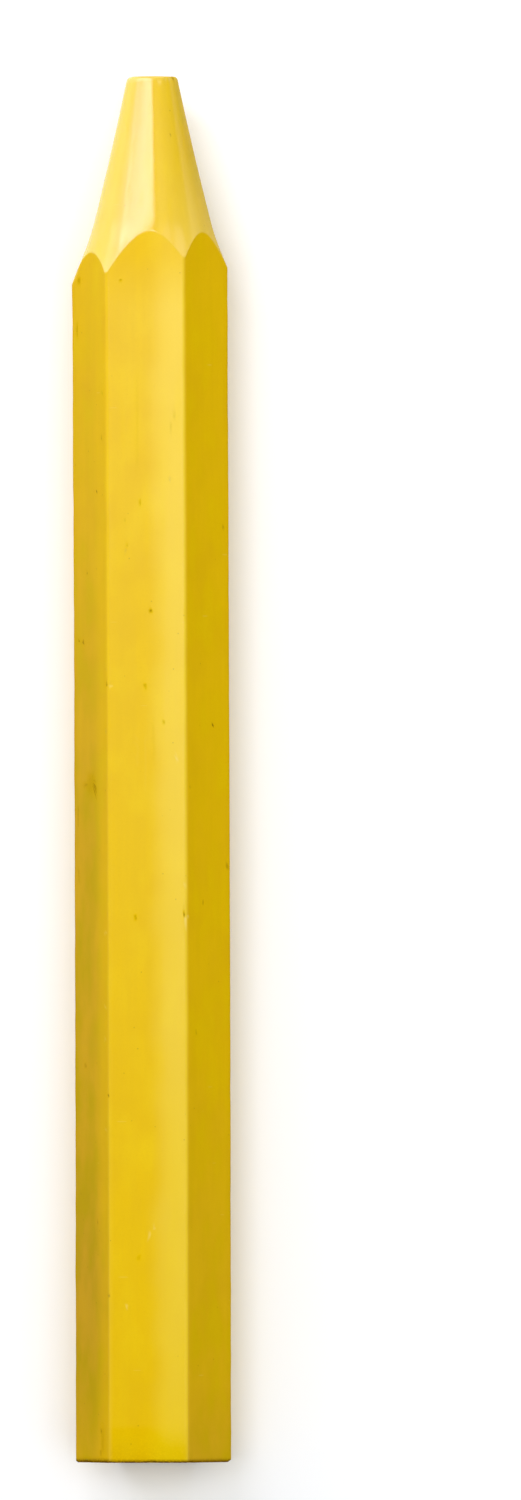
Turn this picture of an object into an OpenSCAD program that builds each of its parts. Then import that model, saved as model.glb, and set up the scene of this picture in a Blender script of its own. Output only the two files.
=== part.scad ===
// Hexagonal marking chalk: one pressed stick with a turned nose.
//
// The stick lies on one of its six flats, as it does on a bench. +Y runs from the butt end to
// the tip, +Z is up, and the origin is under the middle of the stick, on the surface it lies on.
// All sizes are millimetres.

/* [Bar] */
// Length of the stick, from the butt end to the flat of the tip
stick_l = 120; // [80:1:180]
// Width of the hexagon across two opposite flats
flats_w = 11.8; // [10:0.1:20]
// Radius along the six long edges
edge_r = 0.35; // [0.1:0.05:1.5]
// Width of the small bevel where the butt end meets the flats
butt_bevel_w = 0.15; // [0.05:0.05:1]

/* [Nose] */
// Diameter of the tip, where its flat would meet the side if the rim were sharp
tip_d = 4.3; // [2:0.1:6]
// Radius of the tip's rim
rim_r = 0.45; // [0.1:0.05:0.9]
// Angle between the nose's axis and its slightly hollow side, at the tip
tip_a = 12; // [8:0.1:13]
// Angle between the nose's axis and its side, where the side meets the shoulder
neck_a = 14.5; // [14:0.1:19]
// Diameter where the side turns into the shoulder
shoulder_d = 10.8; // [8:0.1:12]
// Angle between the nose's axis and its shoulder
shoulder_a = 22; // [20:0.1:35]
// Radius of the hollow blend between the side and the shoulder
blend_r = 14; // [2:0.5:15]
// How far the nose sits off the bar's axis, sideways
nose_shift_x = 0.35; // [-0.6:0.05:0.6]
// How far the nose sits off the bar's axis, upwards
nose_shift_z = 0.35; // [-0.6:0.05:0.6]

/* [Hidden] */
$fn = 96;

// How far a cutting shape runs past the surface it cuts
over = 1;
// From the bar's axis to a flat, and to the sharp corner of the hexagon
flat_r = flats_w / 2;
corner_r = flat_r / cos(30);
// From the bar's axis to the centre of a long edge's rounding
edge_centre_r = (flat_r - edge_r) / cos(30);
// From the nose's axis to beyond every corner of the bar
reach_r = corner_r + norm([nose_shift_x, nose_shift_z]) + over;
// Straight steps along each rounding, and along the hollow side
edge_steps = 8;
rim_steps = 10;
blend_steps = 6;
side_steps = 12;
// Angle and radius of the hollow side: an arc whose ends slope at tip_a and neck_a
side_a = (tip_a + neck_a) / 2;
side_r = (shoulder_d - tip_d) / 2 / sin(side_a) / (2 * sin((neck_a - tip_a) / 2));
// From the sharp rim, and from the sharp knee, to where their roundings begin
rim_run = rim_r * tan((90 - tip_a) / 2);
knee_run = blend_r * tan((shoulder_a - neck_a) / 2);
// The same run at the knee, as an angle of the side's arc
knee_turn = asin(knee_run / side_r);
// Depth below the tip of the knee, and of the shoulder's far end
knee_h = (shoulder_d - tip_d) / 2 / tan(side_a);
shoulder_h = knee_h + (reach_r - shoulder_d / 2) / tan(shoulder_a);

// Points along an arc of radius r about c, from one angle to another. The step called first is
// where they begin: 1 leaves out a starting point that the outline has already reached.
function arc(c, r, from, to, steps, first = 0) =
    [for (i = [first:steps]) let (a = from + (to - from) * i / steps) c + r * [cos(a), sin(a)]];

// The bar's section: a hexagon whose six corners are rounded. Flats lie above and below.
module bar_section() {
    polygon([
        for (a = [0:60:300])
            each arc(edge_centre_r * [cos(a), sin(a)], edge_r, a - 30, a + 30, edge_steps)
    ]);
}

// Half of the nose's section, with the tip's flat on the X axis and the nose's axis on the Y
// axis: a flat, a rounded rim, a slightly hollow side, a hollow blend, a steeper shoulder, and
// then a plain cylinder that clears the bar all the way past its butt end.
module nose_section() {
    rim_centre = [tip_d / 2 - rim_run, -rim_r];
    side_centre = [tip_d / 2, 0] + side_r * [cos(tip_a), sin(tip_a)];
    blend_start = [shoulder_d / 2, -knee_h] - knee_run * [sin(neck_a), -cos(neck_a)];
    blend_centre = blend_start + blend_r * [cos(neck_a), sin(neck_a)];
    polygon([
        [0, 0],
        each arc(rim_centre, rim_r, 90, tip_a, rim_steps),
        each arc(side_centre, side_r, 180 + tip_a, 180 + neck_a - knee_turn, side_steps, 1),
        each arc(blend_centre, blend_r, 180 + neck_a, 180 + shoulder_a, blend_steps, 1),
        [reach_r, -shoulder_h],
        [reach_r, -stick_l - over],
        [0, -stick_l - over]
    ]);
}

// The nose is round and the bar is hexagonal, so where the shoulder runs out, each flat ends
// in an arch and each long edge in a point. The nose sits a little off the bar's axis, so the
// arches differ in height.
module nosed_bar() {
    intersection() {
        linear_extrude(height = stick_l)
            bar_section();
        translate([nose_shift_x, -nose_shift_z, stick_l])
            rotate_extrude()
                nose_section();
    }
}

// One planar cut along the butt end's edge, below a flat that faces +X.
module butt_bevel() {
    translate([flat_r - butt_bevel_w, 0, 0])
        rotate([0, -45, 0])
            translate([0, -corner_r, -2 * over])
                cube([2 * over, 2 * corner_r, 2 * over]);
}

module chalk_stick() {
    color([0.94, 0.79, 0.16])
        translate([0, -stick_l / 2, flat_r])
            rotate([-90, 0, 0])
                difference() {
                    nosed_bar();
                    for (k = [0:5])
                        rotate(60 * k + 30)
                            butt_bevel();
                }
}

chalk_stick();
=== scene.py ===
import bpy
import numpy as np
from mathutils import Matrix, Vector


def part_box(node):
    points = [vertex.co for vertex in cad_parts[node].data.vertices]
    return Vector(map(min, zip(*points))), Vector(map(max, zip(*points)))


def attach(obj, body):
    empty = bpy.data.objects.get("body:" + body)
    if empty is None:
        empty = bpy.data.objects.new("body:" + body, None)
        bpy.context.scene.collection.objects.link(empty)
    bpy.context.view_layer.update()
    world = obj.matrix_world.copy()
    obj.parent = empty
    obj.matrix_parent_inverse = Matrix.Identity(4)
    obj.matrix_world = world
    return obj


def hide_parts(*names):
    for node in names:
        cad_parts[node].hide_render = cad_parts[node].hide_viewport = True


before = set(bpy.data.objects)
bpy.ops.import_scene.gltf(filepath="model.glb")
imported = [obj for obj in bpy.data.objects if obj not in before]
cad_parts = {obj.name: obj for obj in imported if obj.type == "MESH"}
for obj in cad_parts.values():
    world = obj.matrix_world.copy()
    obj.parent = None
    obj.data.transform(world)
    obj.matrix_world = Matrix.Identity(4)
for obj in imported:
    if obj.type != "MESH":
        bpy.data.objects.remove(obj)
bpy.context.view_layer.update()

# ---- Camera ------------------------------------------------------------------------------
# A long lens hangs above the stick and looks down on its upper flat, a little from the right.
# The stick stands upright in the left half of a tall, narrow picture, nose up.

lens_to_stick = 1.800
lean_right = np.radians(4.07)
picture_height = 0.1298
stick_left_of_middle = 0.00944
stick_below_middle = 0.00173
picture_roll = np.radians(-0.21)

stick_low, stick_high = (np.array(corner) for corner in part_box("chalk_stick"))
stick_middle = (stick_low + stick_high) / 2

camera_data = bpy.data.cameras.new("camera")
camera_data.sensor_width = 36
camera_data.lens = camera_data.sensor_width * lens_to_stick / picture_height
camera_data.clip_start, camera_data.clip_end = 0.01, 20
camera = bpy.data.objects.new("camera", camera_data)
look_lean = lean_right - np.arctan(stick_left_of_middle / lens_to_stick)
lens_offset = lens_to_stick * np.array([np.sin(lean_right), 0, np.cos(lean_right)])
camera.matrix_world = (
    Matrix.Translation(stick_middle + lens_offset + [0, stick_below_middle, 0])
    @ Matrix.Rotation(look_lean, 4, "Y")
    @ Matrix.Rotation(picture_roll, 4, "Z")
)
bpy.context.collection.objects.link(camera)
bpy.context.scene.camera = camera

# ---- Studio ------------------------------------------------------------------------------
# A pale matt table in a softly lit white room. One long, narrow lamp hangs close to the nose,
# beyond it and to its left, and gives it its highlight. Weaker soft boxes overhead and on the
# other sides fill the rest.

table_half = 6.0
table_white = (0.940, 0.965, 0.990, 1)
table_roughness, table_shine = 0.9, 0.1
table_mesh = bpy.data.meshes.new("table")
table_mesh.from_pydata(
    [(x * table_half, y * table_half, 0) for x, y in ((-1, -1), (1, -1), (1, 1), (-1, 1))],
    [],
    [(0, 1, 2, 3)],
)
table = bpy.data.objects.new("table", table_mesh)
bpy.context.collection.objects.link(table)
table_paint = bpy.data.materials.new("pale_table")
table_paint.use_nodes = True
table_shader = table_paint.node_tree.nodes["Principled BSDF"]
table_shader.inputs["Base Color"].default_value = table_white
table_shader.inputs["Roughness"].default_value = table_roughness
table_shader.inputs["Specular IOR Level"].default_value = table_shine
table_mesh.materials.append(table_paint)


def soft_box(name, aim, towards, distance, width, height, radiance):
    """A rectangular light that faces the point it is aimed at, from a direction and a distance.
    Its width lies across the stick and its height along it. Its power gives the radiance."""
    data = bpy.data.lights.new(name, "AREA")
    data.shape = "RECTANGLE"
    data.size, data.size_y = width, height
    data.energy = radiance * width * height * np.pi
    light = bpy.data.objects.new(name, data)
    out = Vector(towards).normalized()
    across = Vector((0, 1, 0)).cross(out).normalized()
    up = out.cross(across)
    turn = Matrix((across, up, out)).transposed().to_4x4()
    light.matrix_world = Matrix.Translation(Vector(aim) + out * distance) @ turn
    light.visible_camera = False
    bpy.context.collection.objects.link(light)
    return light


# Each box: its name, what it is aimed at, the direction that it hangs in, its distance, width
# and height in metres, and its radiance. The main lamp is rolled to lean with the nose's side.
nose_ahead = 0.05
nose_middle = stick_middle + [0, nose_ahead, 0]
lamp_roll = np.radians(-5)
lamp_white = (1.0, 0.94, 0.96)
main_lamp = soft_box("main_lamp", nose_middle, (-0.454, 0.515, 0.727), 0.35, 0.42, 0.092, 5.8)
main_lamp.matrix_world = main_lamp.matrix_world @ Matrix.Rotation(lamp_roll, 4, "Z")
main_lamp.data.color = lamp_white
soft_box("left_fill", nose_middle, (-0.843, 0.510, 0.170), 0.35, 0.17, 0.12, 2.57)
soft_box("top_box", stick_middle, (-0.052, 0.017, 0.998), 0.80, 0.49, 0.31, 4.68)
soft_box("right_box", stick_middle, (0.448, -0.156, 0.880), 0.80, 0.365, 0.614, 1.99)
soft_box("nose_fill", nose_middle, (0.327, 0.707, 0.627), 0.35, 0.156, 0.188, 1.17)
soft_box("shoulder_fill", nose_middle, (0.612, 0.707, 0.354), 0.35, 0.132, 0.188, 1.29)
soft_box("tip_fill", nose_middle, (0.0, 0.960, 0.280), 0.50, 0.40, 0.24, 0.60)

room_white, room_light = (1, 1, 1, 1), 0.35
room = bpy.data.worlds.new("white_room")
room.use_nodes = True
room.node_tree.nodes["Background"].inputs["Color"].default_value = room_white
room.node_tree.nodes["Background"].inputs["Strength"].default_value = room_light
bpy.context.scene.world = room
bpy.context.scene.view_settings.view_transform = "Standard"

# ---- Chalk stick -------------------------------------------------------------------------
# One stick of chalk and pigment bound with wax, pressed in a hexagonal mould and turned to a
# blunt nose. Each flat has shrunk a little hollow, the edges are slightly worn, and handling
# has left pits, nicks and rub marks. Sizes are millimetres until the mesh is made.

mm = 0.001
stick_l = (stick_high[1] - stick_low[1]) / mm
flat_r = (stick_high[2] - stick_low[2]) / 2 / mm
edge_r = 0.38
flat_hollow = 0.14
butt_bevel = 0.15
tip_r = 2.15
side_slope = 0.212
side_curve = 0.0017
knee_r = 5.40
shoulder_slope = 0.404
knee_blend = 1.3
nose_shift = np.array([0.35, 0.35])
two_waves, three_waves, three_turned = 0.040, 0.080, 0.9
bow_w = 0.045
butt_lean, butt_lean_l = 0.28, 4.0

# The way round the bar is measured along its section. The six flats, each with half a rounding
# on either side, are numbered from the top one towards +X. An edge has the number of the flat
# before it: 5 and 0 are the top flat's two edges, and 4 and 1 stand out to the sides.
top, upper_right, lower_right, under, lower_left, upper_left = range(6)
top_left_edge, top_right_edge, left_edge, right_edge = 5, 0, 4, 1
half_flat = (flat_r - edge_r) * np.tan(np.pi / 6)
half_round = edge_r * np.pi / 6
pitch = 2 * (half_flat + half_round)


def bar_section(around):
    """Across and up from the bar's axis, and the bearing that the surface faces, at a distance
    round the section: a straight flat, and beyond its ends arcs of the edges' radius."""
    face = np.round(around / pitch)
    across = around - face * pitch
    turn = np.sign(across) * np.clip((np.abs(across) - half_flat) / edge_r, 0, None)
    sideways = np.clip(across, -half_flat, half_flat) + edge_r * np.sin(turn)
    out = flat_r - edge_r * (1 - np.cos(turn))
    bearing = face * np.pi / 3
    return (
        out * np.sin(bearing) + sideways * np.cos(bearing),
        out * np.cos(bearing) - sideways * np.sin(bearing),
        bearing + turn,
    )


def off_middle(around):
    """How far a place round the section is from the middle of its flat."""
    return around - np.round(around / pitch) * pitch


def hollow(around):
    """How far a flat has shrunk inwards: a parabola that is deepest in the flat's middle."""
    return flat_hollow * np.clip(1 - (off_middle(around) / half_flat) ** 2, 0, None)


def ramp(value, start, end):
    """A value's share of the way from a start to an end, kept between 0 and 1."""
    return np.clip((value - start) / (end - start), 0, 1)


def hump(value, middle, width):
    """A bell curve: 1 in its middle, and about a third of that at its width."""
    return np.exp(-((value - middle) / width) ** 2)


def nose_radius(depth, bearing):
    """The nose's radius at a depth below its tip. The side is a shallow parabola; past the
    knee it runs on straight, and another parabola bends it to the shoulder's slope. Towards
    the shoulder it also grows slightly out of round: waves of two and three to the turn."""
    knee_slope = np.sqrt(side_slope**2 + 4 * side_curve * (knee_r - tip_r))
    knee = (knee_slope - side_slope) / (2 * side_curve)
    before = np.minimum(depth, knee)
    side = tip_r + side_slope * before + side_curve * before**2 + knee_slope * (depth - before)
    bend = np.clip(depth - knee + knee_blend, 0, 2 * knee_blend) ** 2 / (4 * knee_blend)
    bend += np.clip(depth - knee - knee_blend, 0, None)
    waves = two_waves * np.cos(2 * bearing) + three_waves * np.cos(3 * bearing - three_turned)
    return side + (shoulder_slope - knee_slope) * bend + waves * ramp(depth, 0, knee)


def arch_depth(reach, bearing):
    """The depth at which the nose has grown to a reach from its axis, by halving a span."""
    deepest, halvings = 40.0, 40
    low, high = np.zeros_like(reach), np.full_like(reach, deepest)
    for _ in range(halvings):
        middle = (low + high) / 2
        short = nose_radius(middle, bearing) < reach
        low, high = np.where(short, middle, low), np.where(short, high, middle)
    return (low + high) / 2


def spaced(count, spacing):
    """Places from 0 to 1 whose steps are in proportion to a spacing along the way."""
    fine_steps = 2001
    way = np.linspace(0, 1, fine_steps)
    effort = np.cumsum(1 / spacing(way))
    effort = (effort - effort[0]) / (effort[-1] - effort[0])
    return np.interp(np.linspace(0, 1, count), effort, way)


# Columns run round the stick and rows from the tip to the butt end. On the nose the rows are
# shared out between the rim and the arch that ends each column.
flat_columns, round_columns = 34, 8
one_face = np.concatenate([
    np.linspace(-half_flat, half_flat, flat_columns, endpoint=False),
    half_flat + 2 * half_round * np.arange(round_columns) / round_columns,
])
around = (np.arange(6)[:, None] * pitch + one_face).ravel()
arch_x, arch_z, facing = bar_section(around)
arch_x = arch_x - hollow(around) * np.sin(facing) - nose_shift[0]
arch_z = arch_z - hollow(around) * np.cos(facing) - nose_shift[1]
bearing = np.arctan2(arch_x, arch_z)
arch = arch_depth(np.hypot(arch_x, arch_z), bearing)

# The rim is sharp on top and worn rounder below and on the left.
rim_mean_r, rim_less_above, rim_less_right = 0.46, 0.22, 0.10
tip_ring_count, rim_row_count, nose_row_count, nose_crowding = 7, 13, 89, 0.7
rim_turn = np.arctan(1 / side_slope)
rim_r = rim_mean_r - rim_less_above * np.cos(bearing) - rim_less_right * np.sin(bearing)
rim_centre_r = tip_r - rim_r * np.tan(rim_turn / 2)
rim_end = rim_r * (1 - np.cos(rim_turn))
tip_rings = np.linspace(0, 1, tip_ring_count + 2)[1:-1, None]
rim_angles = np.linspace(0, rim_turn, rim_row_count)[:, None]
tip_radii = np.vstack([tip_rings * rim_centre_r, rim_centre_r + rim_r * np.sin(rim_angles)])
tip_depths = np.vstack([0 * tip_rings * rim_r, rim_r * (1 - np.cos(rim_angles))])
nose_rows = spaced(nose_row_count + 1, lambda way: 1 - nose_crowding * way)[1:]
nose_depths = rim_end + nose_rows[:, None] * (arch - rim_end)
depth = np.vstack([tip_depths, nose_depths])
radius = np.vstack([tip_radii, nose_radius(nose_depths, bearing)])
nose_x = nose_shift[0] + radius * np.sin(bearing)
nose_z = nose_shift[1] + radius * np.cos(bearing)

# Marks that handling has left. Each line gives a flat, the place across it and along from the
# butt end, the mark's half width and half length, its depth, and how much it is darkened by
# dirt and paled by bruising. These are on the top flat, 0, and on its neighbours, 5 on the left
# and 1 on the right, and one is on the nose.
bar_marks = [
    (5, -2.0, 102.4, 0.30, 0.35, 0.010, 0.30, 0.0),
    (5, -2.4, 98.1, 0.15, 0.80, 0.015, 0.30, 0.0),
    (5, 2.5, 92.6, 0.10, 0.14, 0.020, 0.45, 0.0),
    (5, 2.3, 88.7, 0.10, 0.20, 0.020, 0.45, 0.0),
    (5, 1.2, 84.1, 0.14, 0.14, 0.040, 0.80, 0.0),
    (5, -0.8, 77.1, 0.12, 0.14, 0.035, 0.45, 0.0),
    (5, -1.6, 71.1, 0.18, 0.16, 0.035, 0.95, 0.0),
    (5, -2.3, 71.2, 0.13, 0.12, 0.020, 0.60, 0.0),
    (5, 0.4, 58.6, 0.17, 0.65, 0.012, 0.80, 0.0),
    (5, 0.6, 59.9, 0.10, 0.40, 0.008, 0.25, 0.0),
    (5, -0.1, 59.6, 0.40, 0.13, 0.010, 0.55, 0.0),
    (5, -1.2, 58.8, 0.45, 0.12, 0.008, 0.40, 0.0),
    (5, -0.2, 58.9, 0.90, 1.00, 0.004, 0.10, 0.0),
    (5, -2.6, 56.2, 0.12, 1.30, 0.008, 0.30, 0.0),
    (5, -2.5, 51.0, 0.12, 0.80, 0.008, 0.25, 0.0),
    (5, 0.9, 21.0, 0.10, 0.18, 0.015, 0.40, 0.0),
    (5, -1.4, 34.5, 0.30, 0.20, 0.010, 0.25, 0.0),
    (5, 1.9, 2.2, 0.35, 1.30, 0.006, 0.14, 0.0),
    (5, 1.6, 3.0, 0.15, 0.30, 0.015, 0.40, 0.0),
    (5, 1.5, 1.1, 0.30, 0.25, 0.010, 0.25, 0.0),
    (5, 2.8, 46.0, 0.40, 0.11, 0.012, 0.0, 0.30),
    (5, 2.7, 39.6, 0.35, 0.11, 0.012, 0.0, 0.30),
    (5, 2.6, 36.8, 0.35, 0.11, 0.012, 0.0, 0.25),
    (5, 2.7, 29.0, 0.30, 0.11, 0.012, 0.0, 0.25),
    (5, 3.2, 67.4, 0.16, 0.14, 0.050, 0.55, 0.0),
    (0, -3.1, 67.3, 0.26, 0.12, 0.030, 0.0, 0.5),
    (5, 3.0, 63.4, 0.16, 0.13, 0.040, 0.35, 0.3),
    (5, 3.3, 31.9, 0.12, 0.12, 0.050, 0.80, 0.0),
    (5, 3.3, 14.7, 0.18, 0.14, 0.050, 0.40, 0.2),
    (0, -2.1, 102.3, 0.12, 0.12, 0.030, 0.35, 0.0),
    (0, -0.7, 90.0, 0.10, 5.00, 0.006, 0.05, 0.0),
    (0, -0.5, 83.1, 0.10, 0.25, 0.020, 0.35, 0.0),
    (0, -1.8, 81.6, 0.14, 0.12, 0.025, 0.30, 0.0),
    (0, -1.8, 79.0, 0.18, 0.14, 0.035, 0.20, 0.3),
    (0, -1.6, 79.4, 0.10, 0.10, 0.020, 0.25, 0.0),
    (0, 0.4, 73.8, 0.13, 0.16, 0.040, 0.75, 0.0),
    (0, 2.1, 85.1, 0.10, 0.14, 0.015, 0.30, 0.3),
    (0, 2.2, 89.6, 0.12, 0.55, 0.012, 0.14, 0.0),
    (0, 2.5, 90.6, 0.12, 0.45, 0.012, 0.14, 0.0),
    (0, -0.1, 67.3, 0.12, 0.16, 0.020, 0.40, 0.0),
    (0, -0.8, 62.0, 0.10, 2.60, 0.004, 0.0, 0.07),
    (0, -0.1, 60.8, 0.10, 3.40, 0.004, 0.0, 0.06),
    (0, 0.6, 63.0, 0.10, 2.20, 0.004, 0.06, 0.0),
    (0, 1.5, 64.1, 0.12, 0.14, 0.015, 0.30, 0.0),
    (0, 2.6, 61.0, 0.16, 0.20, 0.030, 0.0, 0.6),
    (0, -1.0, 47.3, 0.12, 0.18, 0.020, 0.40, 0.0),
    (0, 0.1, 20.0, 0.14, 0.30, 0.015, 0.0, 0.5),
    (0, 0.5, 20.5, 0.14, 0.16, 0.012, 0.0, 0.4),
    (0, -0.9, 18.0, 0.18, 0.14, 0.020, 0.20, 0.0),
    (0, -1.9, 13.8, 0.12, 0.18, 0.020, 0.0, 0.5),
    (0, 3.1, 46.8, 0.15, 0.20, 0.060, 0.0, 0.9),
    (0, 3.3, 47.1, 0.15, 0.20, 0.080, 0.0, 0.9),
    (1, -3.2, 47.4, 0.15, 0.16, 0.050, 0.0, 0.7),
    (0, 3.2, 47.6, 0.10, 0.25, 0.040, 0.6, 0.0),
    (0, 3.3, 50.2, 0.14, 0.16, 0.040, 0.0, 0.4),
    (1, -2.95, 114.45, 0.10, 0.10, 0.020, 0.80, 0.0),
    (1, 2.5, 81.0, 0.14, 0.20, 0.020, 0.35, 0.0),
    (1, 0.9, 63.9, 0.14, 0.16, 0.050, 1.00, 0.0),
    (1, -2.8, 58.6, 0.12, 0.14, 0.020, 0.35, 0.0),
    (1, -0.7, 48.6, 0.12, 0.14, 0.020, 0.45, 0.0),
    (1, 2.9, 51.7, 0.22, 0.30, 0.040, 0.40, 0.0),
    (1, -1.9, 37.4, 0.12, 0.14, 0.020, 0.35, 0.0),
]

# Pits scattered over the three flats that face down.
pits_per_flat = 9
pit_across, pit_along = (-3.0, 3.0), (3, 100)
pit_size, pit_stretch, pit_depth, pit_dirt = (0.09, 0.18), (1.0, 2.2), (0.015, 0.045), (0.3, 0.8)
luck = np.random.default_rng(seed=12)
for flat in (lower_right, under, lower_left):
    for _ in range(pits_per_flat):
        size = luck.uniform(*pit_size)
        bar_marks.append((
            flat, luck.uniform(*pit_across), luck.uniform(*pit_along), size,
            size * luck.uniform(*pit_stretch), luck.uniform(*pit_depth), luck.uniform(*pit_dirt), 0.0,
        ))

# The bar's rows crowd near the arches and near the butt end. Then the grid is drawn towards
# each mark, so that small marks get points of their own, but not near the flats' edges or ends.
bar_row_count = 239
crowd_arch, crowd_arch_way, crowd_butt, crowd_butt_way = 0.75, 0.04, 0.80, 0.01
draw_reach, draw_strength = 1.0, 0.7
edge_margin, end_margin = 0.8, 1.5


def bar_spacing(way):
    """The rows' spacing on the way from the arches to the butt end, less near both ends."""
    near_arch_rows = crowd_arch * np.exp(-way / crowd_arch_way)
    near_butt_rows = crowd_butt * np.exp((way - 1) / crowd_butt_way)
    return 1 - near_arch_rows - near_butt_rows


bar_rows = spaced(bar_row_count + 1, bar_spacing)[1:]
along = stick_l - arch - bar_rows[:, None] * (stick_l - butt_bevel - arch)
round_bar = around * np.ones_like(along)
for flat, mark_across, mark_along, *_ in bar_marks:
    side_gap = (round_bar - flat * pitch - mark_across + 3 * pitch) % (6 * pitch) - 3 * pitch
    along_gap = along - mark_along
    draw = draw_strength * np.exp(-(side_gap**2 + along_gap**2) / (2 * draw_reach**2))
    inside = ramp(np.abs(off_middle(round_bar)), half_flat, half_flat - edge_margin)
    clear = ramp(along, butt_bevel, butt_bevel + end_margin)
    clear = clear * ramp(stick_l - arch - along, 0, end_margin)
    round_bar = round_bar - draw * side_gap * inside
    along = along - draw * along_gap * clear

# Handling has rounded the long edges unevenly, and the flats waver a little where they set.
wave_lengths = np.array([3.1, 5.3, 8.9, 14.0, 23.0])
wave_starts = luck.uniform(0, 2 * np.pi, (6, len(wave_lengths)))


def waver(place, row):
    """A wandering curve between -1 and 1 along the stick, the mean of sines of five lengths.
    The row says whose curve it is: each flat or edge has its own."""
    angles = 2 * np.pi * place[..., None] / wave_lengths + wave_starts[row]
    return np.sin(angles).mean(axis=-1)


edge_wear, edge_wear_w = 0.030, 0.9
ripple_h, ripple_stretch, ripple_slant = 0.012, 0.45, 2.5
calm_l = 3.0
bar_x, bar_z, facing = bar_section(round_bar)
face_no = np.round(round_bar / pitch).astype(int) % 6
edge_no = np.floor(round_bar / pitch).astype(int) % 6
from_edge = np.abs((round_bar / pitch) % 1 - 0.5) * pitch
wear = edge_wear * (1 + waver(along, edge_no)) * ramp(from_edge, edge_wear_w, 0) ** 2
ripple = ripple_h * waver(along * ripple_stretch + off_middle(round_bar) * ripple_slant, face_no)
sink = hollow(round_bar) + (wear + ripple) * ramp(stick_l - arch - along, 0, calm_l)
bar_x = bar_x - sink * np.sin(facing)
bar_z = bar_z - sink * np.cos(facing)

# The bevel and the end face follow the bar's last row. The stick bows a little to the side,
# and its butt end leans out of square.
bevel_steps = np.array([0.5, 1.0])
face_ring_count = 10
bevel_shrink = 1 - butt_bevel / flat_r * bevel_steps
face_shrink = bevel_shrink[-1] * np.linspace(1, 0, face_ring_count + 2)[1:-1]
end_shrink = np.concatenate([bevel_shrink, face_shrink])[:, None]
end_along = np.concatenate([butt_bevel * (1 - bevel_steps), np.zeros(face_ring_count)])[:, None]
x = np.vstack([nose_x, bar_x, end_shrink * bar_x[-1]])
z = np.vstack([nose_z, bar_z, end_shrink * bar_z[-1]])
y = np.vstack([stick_l - depth, along, end_along * np.ones_like(around)]) - stick_l / 2
bow = bow_w * (1 - 2 * (2 * y / stick_l) ** 2)
y = y + butt_lean * (z + flat_r) / (2 * flat_r) * ramp(y + stick_l / 2, butt_lean_l, 0)
points = np.stack([np.clip(x + bow, stick_low[0] / mm, stick_high[0] / mm), y, z + flat_r], axis=-1)

# Every point has five values from 0 to 1: soil and painted shade, bruise and painted highlight,
# film and painted shade, painted sheen, and gloss. The marks come first, and each is a dish in
# the surface with its own darkening and paling.
dish_h = 1.2
stain_spread = 1.5


def scoop(centre, outward, run, half_width, half_length):
    """How deep each point lies in a dish, from 0 at its rim to 1 in its middle. The dish is a
    paraboloid seen along its outward direction, and its length lies along its run."""
    gap = points - centre
    run = run - outward * (run @ outward)
    run = run / np.linalg.norm(run)
    lengthways = gap @ run / half_length
    sideways = gap @ np.cross(outward, run) / half_width
    within = np.abs(gap @ outward) < dish_h
    return np.where(within, np.clip(1 - lengthways**2 - sideways**2, 0, None), 0)


soil_and_shade, bruise_and_highlight = np.zeros_like(x), np.zeros_like(x)
push = np.zeros_like(points)


def leave_mark(centre, outward, run, half_width, half_length, deep, dirt_and_shade, rubbed_and_highlight):
    """Adds one dish: it pushes the points inwards, and stains them most in its middle."""
    dish = scoop(centre, outward, run, half_width, half_length)
    stain = np.clip(stain_spread * dish, 0, 1)
    push[...] -= (deep * dish)[..., None] * outward
    np.maximum(soil_and_shade, dirt_and_shade * stain, out=soil_and_shade)
    np.maximum(bruise_and_highlight, rubbed_and_highlight * stain, out=bruise_and_highlight)


# A mark that is further along than the bar goes takes its centre from the grid of the nose.
nose_from = 106.0
lengthwise = np.array([0.0, 1.0, 0.0])
for flat, mark_across, mark_along, *rest in bar_marks:
    centre_x, centre_z, turned = bar_section(np.float64(flat * pitch + mark_across))
    centre = np.array([centre_x, mark_along - stick_l / 2, centre_z + flat_r])
    if mark_along > nose_from:
        row = np.argmin(np.abs(stick_l - depth[:, 0] - mark_along))
        column = np.argmin(np.abs(around - flat * pitch - mark_across))
        centre = points[row, column]
    leave_mark(centre, np.array([np.sin(turned), 0, np.cos(turned)]), lengthwise, *rest)

# Chips on the tip's rim and round the butt end: a bearing, the place along, the reach from the
# axis, how far the chip faces along the stick, its half length round the rim and its half
# width, its depth, and how much it is darkened and paled. On the upper right of the tip's rim
# the chips' dark is a painted shadow, and their paleness partly a painted highlight.
end_chips = [
    (0.33, 119.58, 2.15, 0.6, 0.26, 0.16, 0.050, 0.00, 0.5),
    (0.60, 119.66, 2.10, 0.8, 0.22, 0.18, 0.070, 0.05, 0.5),
    (0.83, 119.72, 2.05, 0.9, 0.20, 0.16, 0.080, 0.10, 0.4),
    (1.05, 119.80, 2.00, 1.0, 0.28, 0.18, 0.090, 0.45, 0.2),
    (0.90, 119.98, 1.85, 2.5, 0.60, 0.14, 0.030, 0.75, 0.0),
    (3.60, 119.80, 2.0, 1.0, 0.50, 0.25, 0.060, 0.30, 0.4),
    (0.05, 0.05, 5.80, -1.0, 0.70, 0.35, 0.080, 0.85, 0.0),
    (0.58, 0.05, 6.45, -1.0, 0.45, 0.40, 0.120, 0.85, 0.0),
    (-0.54, 0.05, 6.50, -1.0, 0.40, 0.30, 0.070, 0.80, 0.0),
    (1.57, 0.05, 6.60, -1.0, 0.35, 0.30, 0.140, 0.50, 0.0),
    (2.40, 0.05, 6.10, -1.0, 0.50, 0.30, 0.080, 0.50, 0.2),
    (3.90, 0.05, 6.10, -1.0, 0.70, 0.30, 0.070, 0.40, 0.3),
    (5.00, 0.05, 6.10, -1.0, 0.40, 0.25, 0.060, 0.40, 0.2),
]
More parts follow.
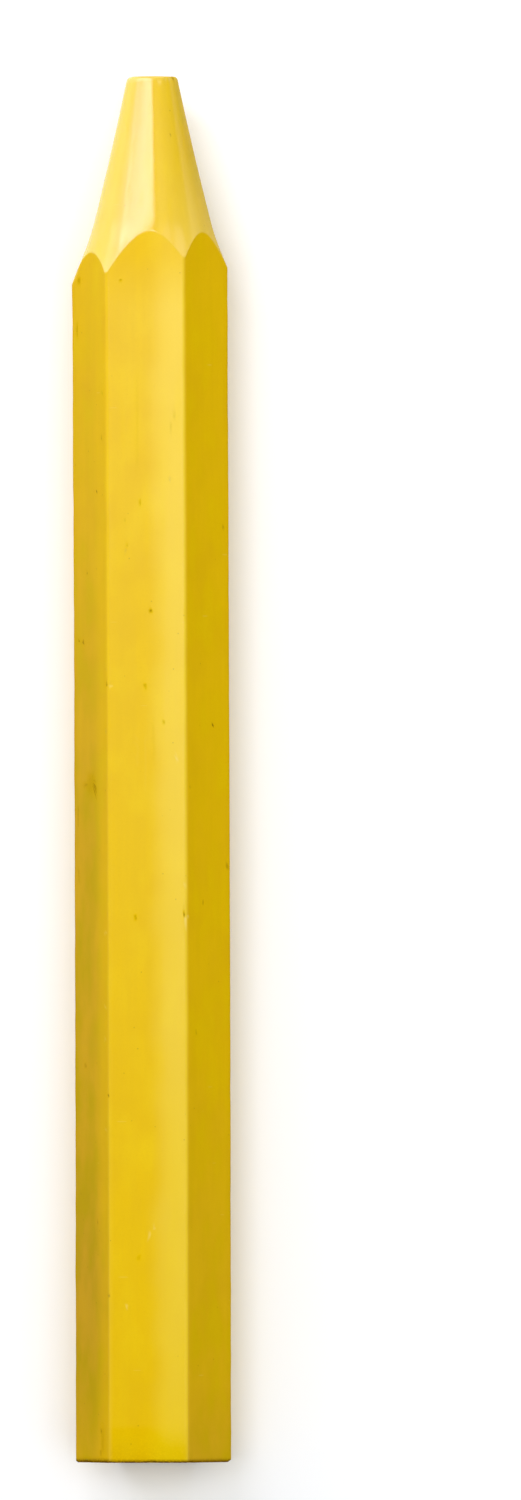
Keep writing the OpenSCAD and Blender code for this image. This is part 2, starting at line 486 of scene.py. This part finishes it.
for angle, chip_along, reach, forward, half_length, half_width, *rest in end_chips:
    outward = np.array([np.sin(angle), forward, np.cos(angle)])
    outward = outward / np.linalg.norm(outward)
    centre = np.array([reach * np.sin(angle), chip_along - stick_l / 2, reach * np.cos(angle) + flat_r])
    if forward > 0:
        centre = centre + np.array([nose_shift[0], 0, nose_shift[1]])
    round_rim = np.array([np.cos(angle), 0, -np.sin(angle)])
    leave_mark(centre, outward, round_rim, half_width, half_length, *rest)
points = points + push

# A dark line runs round the butt end, a little less dark on the right, with a thin fringe above
# it. Over its last few millimetres the top flat is darker still: painted shade. Thin grime lies
# along the edges that stand out to the sides, and on the left one there is more of it where the
# stick is held.
butt_line_dark, line_whole, line_gone = 0.85, 0.13, 0.39
fringe_dark, fringe_l, less_on_right = 0.15, 0.60, 0.80
top_shade, top_shade_l = 0.14, 3.5
left_edge_dirt, right_edge_dirt, edge_dirt_w = 0.22, 0.20, 0.45
hand_dirt, hand_middle, hand_whole, hand_gone = 0.15, 48.0, 5.2, 31.2
edge_dirt_mean, edge_dirt_waver = 0.8, 0.5
bevel_dark, face_dirt = 1.0, 0.20

grime_and_shade = butt_line_dark * ramp(along, line_gone, line_whole) + fringe_dark * ramp(along, fringe_l, 0)
grime_and_shade = grime_and_shade * np.where((face_no == upper_left) | (face_no == lower_left), 1.0, less_on_right)
hand_grime = hand_dirt * ramp(np.abs(along - hand_middle), hand_gone, hand_whole)
edge_grime = np.where(edge_no == left_edge, left_edge_dirt + hand_grime, 0.0)
edge_grime = np.where(edge_no == right_edge, right_edge_dirt, edge_grime)
edge_grime = edge_grime * (edge_dirt_mean + edge_dirt_waver * waver(along, edge_no))
grime_and_shade = np.maximum(grime_and_shade, edge_grime * ramp(from_edge, edge_dirt_w, 0))
# Painted shade: the top flat darkens towards the butt end.
grime_and_shade = np.maximum(grime_and_shade, top_shade * ramp(along, top_shade_l, 0) * (face_no == top))
on_nose, on_bar = slice(0, len(nose_x)), slice(len(nose_x), len(nose_x) + len(bar_x))
on_bevel = slice(on_bar.stop, on_bar.stop + len(bevel_shrink))
on_face = slice(on_bevel.stop, None)
soil_and_shade[on_bar] = np.maximum(soil_and_shade[on_bar], grime_and_shade)
soil_and_shade[on_bevel] = np.maximum(soil_and_shade[on_bevel], bevel_dark)
soil_and_shade[on_face] = np.maximum(soil_and_shade[on_face], face_dirt)

# The top flat's edges, the tip's rim, the nose's left side and the foot of its right side are
# painted paler: painted highlights. Places on the nose go by the bearing from its axis, which is
# 0 on top, 1.57 on the right and less than 0 on the left.
edge_glint, edge_glint_w = 0.14, 0.30
rim_glint, rim_glint_left, rim_glint_turn, rim_inner_r, rim_outer_r = 0.35, 0.22, 3.0, 1.70, 1.80
right_glint, glint_starts, right_glint_place, under_glint_place = 0.30, 0.50, (0.35, 0.65), (2.2, 1.8)
left_glint, left_glint_middle, left_glint_w = 0.24, -0.76, 0.27

on_top_edge = (edge_no == top_left_edge) | (edge_no == top_right_edge)
edge_glint_line = edge_glint * ramp(from_edge, edge_glint_w, 0) * on_top_edge
bruise_and_highlight[on_bar] = np.maximum(bruise_and_highlight[on_bar], edge_glint_line)
on_rim = slice(0, len(tip_radii))
# A painted highlight round the tip's rim, strongest on its left.
rim = ramp(radius[on_rim], rim_inner_r, rim_outer_r)
rim = rim * (rim_glint - rim_glint_left * np.tanh(rim_glint_turn * bearing))
bruise_and_highlight[on_rim] = np.maximum(bruise_and_highlight[on_rim], rim)
nose_highlight = right_glint * ramp(depth / arch, glint_starts, 1)
nose_highlight = nose_highlight * ramp(bearing, *right_glint_place) * ramp(bearing, *under_glint_place)
nose_highlight = nose_highlight + left_glint * hump(bearing, left_glint_middle, left_glint_w)
bruise_and_highlight[on_nose] = np.maximum(bruise_and_highlight[on_nose], nose_highlight)

# The skin of clear wax is whole on the nose, apart from its worn right side, and thin on the
# flats, most of all towards the butt end. The right part of the top flat, beyond a wavering
# line, keeps more of it and has more painted sheen in its colour, and both fade near the arch.
split_w, split_middle, split_waver, split_stretch = 2.4, 1.0, 0.50, 0.6
arch_fade, arch_fade_from, arch_fade_to = 0.45, 100.0, 104.5
top_gloss, top_gain, top_bend = 0.015, 0.16, 1.6
pale_gloss, pale_gain = 0.08, 0.26
left_gloss, left_gain = 0.02, 0.08
lower_gloss, lower_gain = 0.05, 0.20
nose_worn, worn_place, under_place = 0.78, (0.55, 1.00), (2.6, 2.1)
face_gloss, face_film_and_shade, face_sheen = 0.08, 0.25, 0.0


def all_over(nose, bar, face):
    """A value for every point, from the nose's, the bar's and the end face's."""
    end = np.full((len(end_along), len(around)), face)
    return np.vstack([nose * np.ones_like(nose_x), bar, end])


up_bar = y[on_bar] + stick_l / 2
share = up_bar / stick_l
split = split_middle + split_waver * waver(up_bar * split_stretch, 0)
right_part = ramp(off_middle(round_bar) - split, -split_w / 2, split_w / 2)
right_part = right_part**2 * (3 - 2 * right_part)
near_arch = arch_fade + (1 - arch_fade) * ramp(up_bar, arch_fade_to, arch_fade_from)
dull_part = (top_gloss + top_gain * share**top_bend) * (1 - right_part)
flat_gloss = np.select(
    [face_no == top, face_no == upper_right, face_no == upper_left],
    [
        (dull_part + (pale_gloss + pale_gain * share) * right_part) * near_arch,
        np.zeros_like(share),
        left_gloss + left_gain * share,
    ],
    lower_gloss + lower_gain * share,
)
nose_gloss = 1 - nose_worn * ramp(bearing, *worn_place) * ramp(bearing, *under_place)
gloss = all_over(nose_gloss, flat_gloss, face_gloss)

# Painted sheen, a paler colour in place of reflected light: a little over the top flat and more
# on its right part, and on both sides of the nose beside its highlight.
top_sheen, right_sheen = 0.12, 0.40
nose_right_sheen, left_sheen_place, right_sheen_place = 0.3, (-0.50, -0.80), (-0.05, 0.15)
flat_sheen = np.where(face_no == top, (top_sheen + right_sheen * right_part) * near_arch, 0)
nose_sheen = ramp(bearing, *left_sheen_place) + nose_right_sheen * ramp(bearing, *right_sheen_place)
painted_sheen = all_over(nose_sheen, flat_sheen, face_sheen)

# Film and painted shade: the upper left flat is darker, most of all on its outer side and low
# down, and the upper right flat too, thinner, but denser towards the butt end. On the flats this
# is partly handling film and partly painted shade. The nose has painted shade on its worn right
# side, and a little along its highlight, where it warms the highlight's colour. Places on the
# flats are shares of the length.
left_mean, left_outer, left_middle, left_place = 0.50, 0.28, 1.2, (0.95, 0.45)
left_end, left_end_place, low_film_and_shade, low_middle, low_w = 0.80, (0, 0.05), 0.22, 0.13, 0.07
right_mean, right_low, right_low_place = 0.17, 0.20, (0.30, 0.15)
right_end, right_end_place = 0.30, (0.06, 0)
side_shade, side_place = 0.42, (0.65, 1.10)
crest_shade, crest_middle, crest_w = 0.30, -0.28, 0.28

left_film_and_shade = left_mean - left_outer * np.tanh(off_middle(round_bar) - left_middle)
left_film_and_shade = left_film_and_shade * ramp(share, *left_place)
left_film_and_shade = left_film_and_shade * (left_end + (1 - left_end) * ramp(share, *left_end_place))
left_film_and_shade = left_film_and_shade + low_film_and_shade * hump(share, low_middle, low_w)
right_film_and_shade = right_mean + right_low * ramp(share, *right_low_place)
right_film_and_shade = right_film_and_shade + right_end * ramp(share, *right_end_place)
flat_film_and_shade = np.select([face_no == upper_left, face_no == upper_right], [left_film_and_shade, right_film_and_shade], 0.0)
nose_shade = side_shade * ramp(bearing, *side_place) * ramp(bearing, *under_place)
nose_shade = nose_shade + crest_shade * hump(bearing, crest_middle, crest_w)
film_and_shade = all_over(nose_shade, flat_film_and_shade, face_film_and_shade)

# The mesh: a face with four corners for each cell of the grid, and a fan to close each end.
rows, cols = points.shape[:2]
grid = np.arange(rows * cols).reshape(rows, cols)
after = np.roll(grid, -1, axis=1)
quads = np.stack([grid[:-1], after[:-1], after[1:], grid[1:]], axis=-1).reshape(-1, 4)
tip_pole, butt_pole = rows * cols, rows * cols + 1
tip_fan = np.stack([np.full(cols, tip_pole), after[0], grid[0]], axis=-1)
butt_fan = np.stack([np.full(cols, butt_pole), grid[-1], after[-1]], axis=-1)
poles = [points[0].mean(axis=0), points[-1].mean(axis=0)]
vertices = np.vstack([points.reshape(-1, 3), *poles]) * mm
stick_mesh = bpy.data.meshes.new("chalk")
faces = quads.tolist() + tip_fan.tolist() + butt_fan.tolist()
stick_mesh.from_pydata(vertices.tolist(), [], faces)
stick_mesh.polygons.foreach_set("use_smooth", np.ones(len(stick_mesh.polygons), bool))
point_values = {"soil_and_shade": soil_and_shade, "bruise_and_highlight": bruise_and_highlight, "film_and_shade": film_and_shade, "painted_sheen": painted_sheen, "gloss": gloss}
for name, values in point_values.items():
    layer = stick_mesh.attributes.new(name, "FLOAT", "POINT")
    ends = [values[0].mean(), values[-1].mean()]
    layer.data.foreach_set("value", np.append(values.ravel(), ends).astype(np.float32))
stick = bpy.data.objects.new("chalk", stick_mesh)
bpy.context.collection.objects.link(stick)

# The wax is full of yellow pigment. It carries faint streaks along the stick, cloudy patches,
# fine grain, a few dark specks and pale ticks, and its skin is a thin coat of clear wax.
yellow = (0.709, 0.453, 0.0009)
streak_yellow = (0.667, 0.419, 0.001)
cloud_yellow = (0.675, 0.417, 0.0017)
patch_yellow = (0.744, 0.513, 0.003)
grain_yellow = (0.632, 0.389, 0.0009)
sheen_yellow = (0.732, 0.551, 0.003)
bruise_and_highlight_yellow = (0.800, 0.608, 0.120)
film_and_shade_brown = (0.500, 0.288, 0.016)
film_and_shade_olive = (0.455, 0.306, 0.004)
speck_brown = (0.20, 0.110, 0.001)
dirt_and_shade_brown = (0.150, 0.066, 0.001)
wax = bpy.data.materials.new("yellow_wax_chalk")
wax.use_nodes = True


def wax_node(kind, inputs, **settings):
    """One node of the wax: its inputs are plain values or the outputs of other nodes."""
    made = wax.node_tree.nodes.new("ShaderNode" + kind)
    for name, value in settings.items():
        setattr(made, name, value)
    for key, value in inputs.items():
        if isinstance(value, bpy.types.NodeSocket):
            wax.node_tree.links.new(value, made.inputs[key])
        else:
            made.inputs[key].default_value = value
    return made


def tinted(colour, tint, amount):
    """A colour mixed with a tint, by an amount that varies over the surface. Either may be
    three plain numbers or another node's output."""
    first, second = ((*c, 1) if isinstance(c, tuple) else c for c in (colour, tint))
    mixed = wax_node("Mix", {0: amount, 6: first, 7: second}, data_type="RGBA")
    return mixed.outputs[2]


def stretched(place, scale):
    """Places whose pattern is stretched along each axis where its scale is less than 1."""
    return wax_node("Mapping", {"Vector": place, "Scale": scale}).outputs[0]


def noise(place, size, detail):
    """Soft noise whose lumps are about a size across, in millimetres."""
    settings = {"Vector": place, "Scale": 1 / (size * mm), "Detail": detail}
    return wax_node("TexNoise", settings).outputs[0]


def steps(value, low, high, start=0.0, end=1.0):
    """Goes evenly from a start to an end while a value goes from low to high, and no further."""
    ends = {"Value": value, "From Min": low, "From Max": high, "To Min": start, "To Max": end}
    return wax_node("MapRange", ends).outputs[0]


def spots(place, gap, rim, core):
    """Round spots about a gap apart: 0 outside their rim and 1 inside their core, both given
    as shares of the gap."""
    cells = wax_node("TexVoronoi", {"Vector": place, "Scale": 1 / (gap * mm)})
    return steps(cells.outputs["Distance"], rim, core)


def times(first, second):
    """The product of two values."""
    return wax_node("Math", {0: first, 1: second}, operation="MULTIPLY").outputs[0]


def stored(name):
    """A value kept at the mesh's points."""
    return wax_node("Attribute", {}, attribute_name=name).outputs["Fac"]


place = wax_node("TexCoord", {}).outputs["Object"]
streaks = noise(stretched(place, (1, 0.06, 1)), size=0.6, detail=3)
clouds = noise(place, size=4.0, detail=2)
patches = noise(stretched(place, (1, 0.5, 1)), size=2.5, detail=3)
grain = noise(place, size=0.18, detail=2)
specks = spots(place, gap=1.6, rim=0.050, core=0.030)
ticks = spots(stretched(place, (0.22, 1.6, 0.22)), gap=2.2, rim=0.050, core=0.035)

colour = tinted(yellow, streak_yellow, steps(streaks, low=0.35, high=0.75, end=0.6))
colour = tinted(colour, cloud_yellow, steps(clouds, low=0.45, high=0.70, end=0.8))
colour = tinted(colour, patch_yellow, steps(patches, low=0.50, high=0.80, end=0.7))
colour = tinted(colour, grain_yellow, steps(grain, low=0.50, high=0.85, end=0.4))
# Painted sheen: a paler colour where reflected light is painted in.
colour = tinted(colour, sheen_yellow, stored("painted_sheen"))
# Film and painted shade: a darker, browner colour over the side flats and the nose's right side.
film_and_shade_colour = tinted(film_and_shade_brown, film_and_shade_olive, steps(patches, low=0.38, high=0.62))
blotches = steps(patches, low=0.35, high=0.65, start=0.82, end=1.15)
colour = tinted(colour, film_and_shade_colour, times(stored("film_and_shade"), blotches))
speck_strength, tick_strength = 0.35, 0.20
colour = tinted(colour, speck_brown, times(specks, speck_strength))
colour = tinted(colour, bruise_and_highlight_yellow, times(ticks, tick_strength))
# Bruising and painted highlights: pale cream on rubbed marks, and where highlights are painted on the
# top flat's edges, the tip's rim and the nose.
colour = tinted(colour, bruise_and_highlight_yellow, stored("bruise_and_highlight"))
# Soil and painted shade, broken up by the grain.
dirt_and_shade = times(stored("soil_and_shade"), steps(grain, low=0.15, high=0.50))
colour = tinted(colour, dirt_and_shade_brown, dirt_and_shade)

dulled = wax_node("Math", {0: stored("gloss"), 1: dirt_and_shade}, operation="SUBTRACT", use_clamp=True)
skin = times(dulled.outputs[0], steps(streaks, low=-0.60, high=0.50, end=0.86))
roughness = steps(skin, low=0.0, high=1.0, start=0.62, end=0.22)
height = wax_node("Math", {0: streaks, 1: grain}, operation="ADD").outputs[0]
relief = wax_node("Bump", {"Height": height, "Strength": 0.35, "Distance": 0.012 * mm})

wax_shader = wax.node_tree.nodes["Principled BSDF"]
wax_shader.inputs["Specular IOR Level"].default_value = 0.0
wax_shader.inputs["Coat Roughness"].default_value = 0.18
wax_shader.inputs["Coat IOR"].default_value = 1.8
for socket, source in (
    ("Base Color", colour),
    ("Roughness", roughness),
    ("Coat Weight", skin),
    ("Normal", relief.outputs[0]),
    ("Coat Normal", relief.outputs[0]),
):
    wax.node_tree.links.new(source, wax_shader.inputs[socket])
stick_mesh.materials.append(wax)

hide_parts("chalk_stick")
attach(stick, "root")
